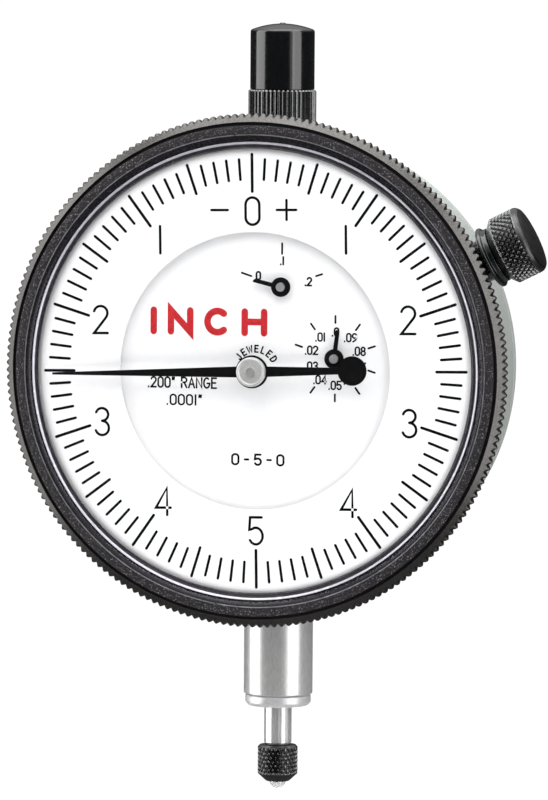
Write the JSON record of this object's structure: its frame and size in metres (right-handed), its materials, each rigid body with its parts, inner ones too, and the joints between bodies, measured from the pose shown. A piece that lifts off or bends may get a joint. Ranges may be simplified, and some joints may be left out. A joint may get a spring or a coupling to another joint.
{
  "type": "dial indicator",
  "caption": "Lug-back dial indicator: sprung plunger in a round stem, geared long hand, two small turn-counter hands, turning knurled bezel with a clamp, and a capped top.",
  "frame": {"origin": "on the plunger's axis, half way along the stem's exposed clamping length", "axes": "+Z along the plunger, away from the contact; the dial faces -Y; +X is to the right as seen from the front"},
  "size_m": [0.0747, 0.0395, 0.106],
  "materials": {
    "case": "satin",
    "back_cover": "satin",
    "back_screw_1": "ground and polished",
    "back_screw_2": "ground and polished",
    "back_screw_3": "ground and polished",
    "back_screw_4": "ground and polished",
    "stem": "ground and polished",
    "lower_bushing": "satin",
    "upper_bushing": "ground and polished",
    "knurled_collar": "black satin",
    "dust_cap": "glossy",
    "rear_plate": "machined",
    "front_plate": "machined",
    "plate_pillar_1": "machined",
    "plate_pillar_2": "machined",
    "plate_pillar_3": "machined",
    "plate_screw_1": "ground and polished",
    "plate_screw_2": "ground and polished",
    "plate_screw_3": "ground and polished",
    "jewel_centre": "polished ruby",
    "jewel_middle": "polished ruby",
    "jewel_rack": "polished ruby",
    "dial_post_1": "machined",
    "dial_post_2": "machined",
    "inner_dial": "matt white print ground",
    "retaining_ring": "ground and polished",
    "spring_post": "ground and polished",
    "return_spring": "ground and polished",
    "hairspring": "ground and polished",
    "hairspring_stud": "machined",
    "clamp_bushing": "black satin",
    "clamp_shoe": "machined",
    "bezel": "black satin",
    "crystal": "clear",
    "dial_ring": "matt white print ground",
    "spindle": "ground and polished",
    "guide_pin": "ground and polished",
    "spring_arm": "ground and polished",
    "contact_point": "black satin",
    "contact_ball": "ground and polished",
    "centre_arbor": "ground and polished",
    "motion_pinion": "ground and polished",
    "main_hand": "matt black",
    "hand_hub": "ground and polished",
    "middle_arbor": "ground and polished",
    "middle_gear": "machined",
    "rack_arbor": "ground and polished",
    "rack_gear": "machined",
    "hairspring_arbor": "ground and polished",
    "hairspring_gear": "machined",
    "counter_one_arbor": "ground and polished",
    "counter_one_gear": "machined",
    "counter_one_hand": "matt black",
    "counter_two_arbor": "ground and polished",
    "counter_two_gear": "machined",
    "counter_two_hand": "matt black",
    "clamp_screw": "black satin"
  },
  "bodies": {
    "body": {"case": "case", "back_cover": "back_cover", "back_screw_1": "back_screw_1", "back_screw_2": "back_screw_2", "back_screw_3": "back_screw_3", "back_screw_4": "back_screw_4", "stem": "stem", "lower_bushing": "lower_bushing", "upper_bushing": "upper_bushing", "knurled_collar": "knurled_collar", "dust_cap": "dust_cap", "rear_plate": "rear_plate", "front_plate": "front_plate", "plate_pillar_1": "plate_pillar_1", "plate_pillar_2": "plate_pillar_2", "plate_pillar_3": "plate_pillar_3", "plate_screw_1": "plate_screw_1", "plate_screw_2": "plate_screw_2", "plate_screw_3": "plate_screw_3", "jewel_centre": "jewel_centre", "jewel_middle": "jewel_middle", "jewel_rack": "jewel_rack", "dial_post_1": "dial_post_1", "dial_post_2": "dial_post_2", "inner_dial": "inner_dial", "retaining_ring": "retaining_ring", "spring_post": "spring_post", "return_spring": "return_spring", "hairspring": "hairspring", "hairspring_stud": "hairspring_stud", "clamp_bushing": "clamp_bushing", "clamp_shoe": "clamp_shoe"},
    "bezel_group": {"bezel": "bezel", "crystal": "crystal", "dial_ring": "dial_ring"},
    "plunger": {"spindle": "spindle", "guide_pin": "guide_pin", "spring_arm": "spring_arm", "contact_point": "contact_point", "contact_ball": "contact_ball"},
    "centre_shaft": {"centre_arbor": "centre_arbor", "motion_pinion": "motion_pinion", "main_hand": "main_hand", "hand_hub": "hand_hub"},
    "middle_shaft": {"middle_arbor": "middle_arbor", "middle_gear": "middle_gear"},
    "rack_shaft": {"rack_arbor": "rack_arbor", "rack_gear": "rack_gear"},
    "hairspring_shaft": {"hairspring_arbor": "hairspring_arbor", "hairspring_gear": "hairspring_gear"},
    "counter_one": {"counter_one_arbor": "counter_one_arbor", "counter_one_gear": "counter_one_gear", "counter_one_hand": "counter_one_hand"},
    "counter_two": {"counter_two_arbor": "counter_two_arbor", "counter_two_gear": "counter_two_gear", "counter_two_hand": "counter_two_hand"},
    "clamp_knob": {"clamp_screw": "clamp_screw"}
  },
  "joints": [
    {"name": "plunger_travel", "type": "slide", "parent": "body", "child": "plunger", "axis": [0, 0, 1], "range_m": [0, 0.00508], "stiffness_N_per_m": 150, "springref_m": -0.008, "deforming": ["return_spring"]},
    {"name": "main_hand_turn", "type": "hinge", "parent": "body", "child": "centre_shaft", "pos_m": [0, 0, 0.0395], "axis": [0, 1, 0], "range_deg": [0, 7200.01]},
    {"name": "middle_shaft_turn", "type": "hinge", "parent": "body", "child": "middle_shaft", "pos_m": [-0.0046, 0, 0.03324], "axis": [0, 1, 0], "range_deg": [-1200.01, 0]},
    {"name": "rack_shaft_turn", "type": "hinge", "parent": "body", "child": "rack_shaft", "pos_m": [0.00292, 0, 0.02793], "axis": [0, 1, 0], "range_deg": [0, 180.01]},
    {"name": "hairspring_shaft_turn", "type": "hinge", "parent": "body", "child": "hairspring_shaft", "pos_m": [0.00606, 0, 0.04436], "axis": [0, 1, 0], "range_deg": [-1200.01, 0]},
    {"name": "counter_one_turn", "type": "hinge", "parent": "body", "child": "counter_one", "pos_m": [0.0111, 0, 0.0414], "axis": [0, 1, 0], "range_deg": [-720.01, 0]},
    {"name": "counter_two_turn", "type": "hinge", "parent": "body", "child": "counter_two", "pos_m": [0.0036, 0, 0.051], "axis": [0, 1, 0], "range_deg": [0, 144.01]},
    {"name": "bezel_turn", "type": "hinge", "parent": "body", "child": "bezel_group", "pos_m": [0, 0, 0.0395], "axis": [0, 1, 0], "continuous": true},
    {"name": "clamp_knob_turn", "type": "hinge", "parent": "body", "child": "clamp_knob", "pos_m": [0.0349, -0.0103, 0.0569], "axis": [0.8949, 0, 0.4462], "range_deg": [-135, 0]}
  ],
  "couplings": [
    {"joint": "main_hand_turn", "follows": "plunger_travel", "rad_per_m": 24737},
    {"joint": "middle_shaft_turn", "follows": "plunger_travel", "rad_per_m": -4122.8},
    {"joint": "rack_shaft_turn", "follows": "plunger_travel", "rad_per_m": 618.42},
    {"joint": "hairspring_shaft_turn", "follows": "plunger_travel", "rad_per_m": -4122.8},
    {"joint": "counter_one_turn", "follows": "plunger_travel", "rad_per_m": -2473.7},
    {"joint": "counter_two_turn", "follows": "plunger_travel", "rad_per_m": 494.74}
  ]
}
